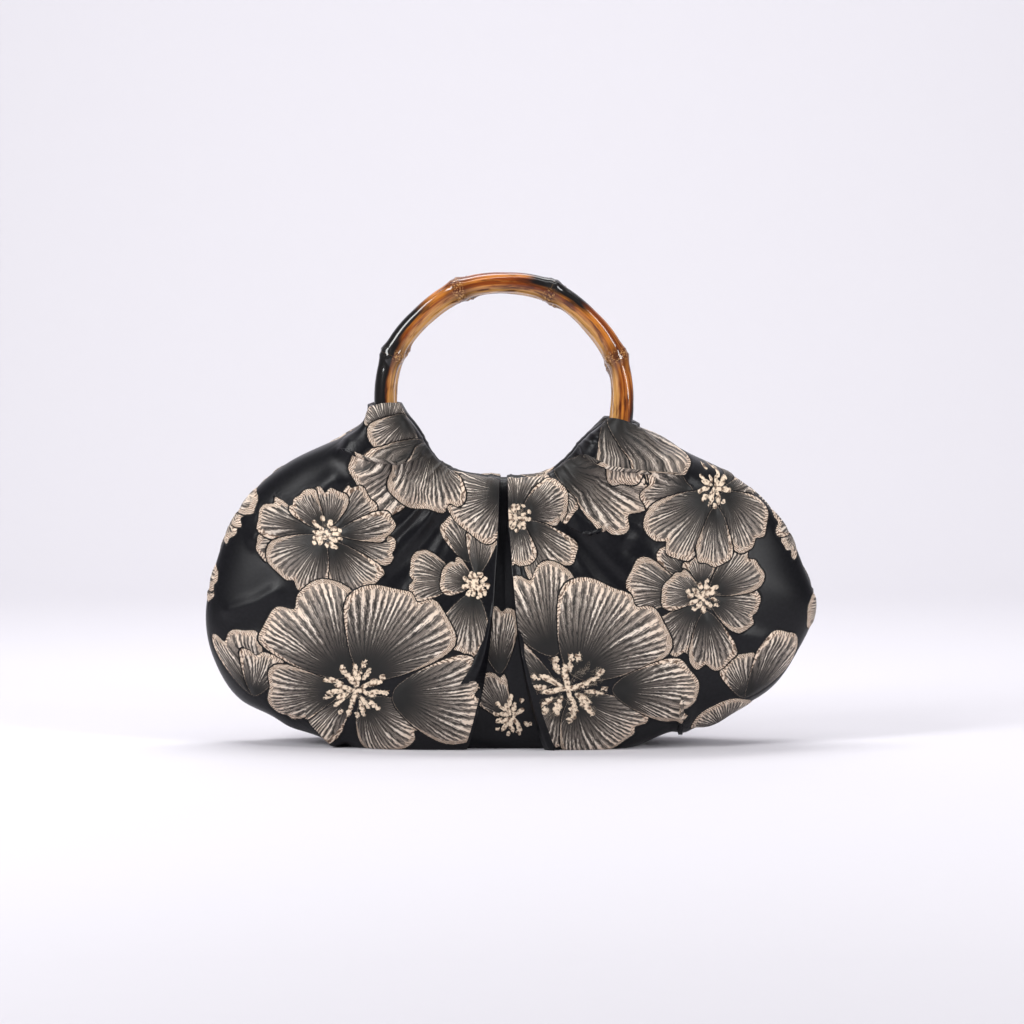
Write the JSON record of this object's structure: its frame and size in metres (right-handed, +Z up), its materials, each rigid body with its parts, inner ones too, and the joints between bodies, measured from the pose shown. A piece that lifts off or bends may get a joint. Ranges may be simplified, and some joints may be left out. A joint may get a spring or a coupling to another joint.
{
  "type": "handbag with bamboo ring handles",
  "caption": "Soft half-moon evening bag of floral brocade, pleated and gathered onto two lacquered bamboo ring handles.",
  "frame": {"origin": "on the surface that the bag stands on, under the middle of its width and depth", "axes": "+Z up, +X to the right as the front is seen, the front faces -Y"},
  "size_m": [0.355, 0.1044, 0.2737],
  "materials": {
    "brocade": "black satin ground with raised woven flowers in champagne, pewter and cream",
    "bamboo": "amber bamboo with scorched stretches under a glossy lacquer"
  },
  "bodies": {
    "root": {"front_panel": "brocade", "back_panel": "brocade", "front_handle": "bamboo", "back_handle": "bamboo"}
  },
  "joints": []
}
